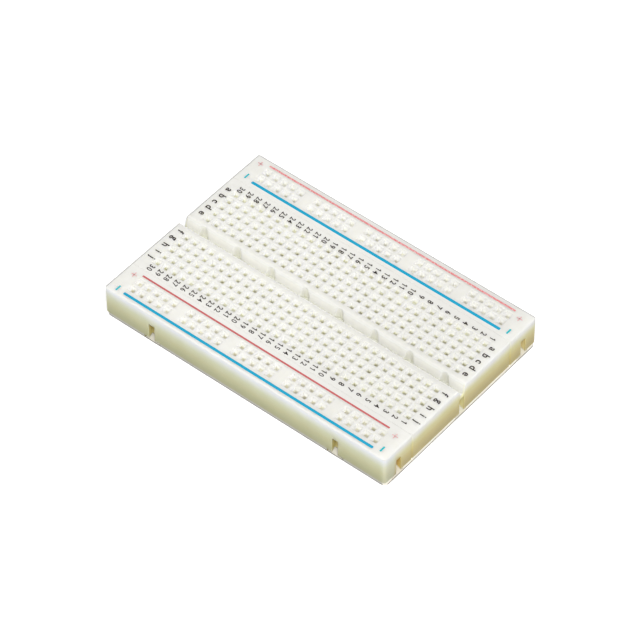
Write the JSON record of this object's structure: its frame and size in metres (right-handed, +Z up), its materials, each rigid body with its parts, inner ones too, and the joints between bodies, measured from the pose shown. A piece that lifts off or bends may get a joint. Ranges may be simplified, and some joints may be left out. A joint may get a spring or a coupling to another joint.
{
  "type": "solderless breadboard",
  "caption": "Half-size solderless breadboard: a terminal strip with a centre channel between dovetailed power rails, on foam pads with a release liner.",
  "frame": {"origin": "centre of the three housings' footprint, on the underside of the release liner", "axes": "+X along the length towards column 1, +Y across towards row a and the far power rail, +Z up out of the contact holes"},
  "size_m": [0.084, 0.0567, 0.0089],
  "materials": {
    "housing_plastic": "fine satin moulded ABS",
    "contact_metal": "bright nickel plate on phosphor bronze",
    "foam_pad": "closed-cell adhesive foam",
    "release_paper": "smooth coated release paper",
    "ink_black": "pad-printed ink",
    "ink_red": "screen-printed ink",
    "ink_blue": "screen-printed ink"
  },
  "bodies": {
    "near_rail": {"near_power_rail": "housing_plastic", "near_foam_pad": "foam_pad", "near_positive_bus": "contact_metal", "near_negative_bus": "contact_metal"},
    "terminal": {"terminal_strip": "housing_plastic", "terminal_foam_pad": "foam_pad", "contact_column_01": "contact_metal", "contact_column_02": "contact_metal", "contact_column_03": "contact_metal", "contact_column_04": "contact_metal", "contact_column_05": "contact_metal", "contact_column_06": "contact_metal", "contact_column_07": "contact_metal", "contact_column_08": "contact_metal", "contact_column_09": "contact_metal", "contact_column_10": "contact_metal", "contact_column_11": "contact_metal", "contact_column_12": "contact_metal", "contact_column_13": "contact_metal", "contact_column_14": "contact_metal", "contact_column_15": "contact_metal", "contact_column_16": "contact_metal", "contact_column_17": "contact_metal", "contact_column_18": "contact_metal", "contact_column_19": "contact_metal", "contact_column_20": "contact_metal", "contact_column_21": "contact_metal", "contact_column_22": "contact_metal", "contact_column_23": "contact_metal", "contact_column_24": "contact_metal", "contact_column_25": "contact_metal", "contact_column_26": "contact_metal", "contact_column_27": "contact_metal", "contact_column_28": "contact_metal", "contact_column_29": "contact_metal", "contact_column_30": "contact_metal"},
    "far_rail": {"far_power_rail": "housing_plastic", "far_foam_pad": "foam_pad", "far_positive_bus": "contact_metal", "far_negative_bus": "contact_metal"},
    "liner": {"release_liner": "release_paper"}
  },
  "joints": [
    {"name": "terminal_lift", "type": "slide", "parent": "near_rail", "child": "terminal", "axis": [0, 0, 1], "range_m": [0, 0.01]},
    {"name": "far_rail_lift", "type": "slide", "parent": "terminal", "child": "far_rail", "axis": [0, 0, 1], "range_m": [0, 0.01]},
    {"name": "liner_peel", "type": "slide", "parent": "near_rail", "child": "liner", "axis": [1, 0, 0], "range_m": [0, 0.083]}
  ]
}
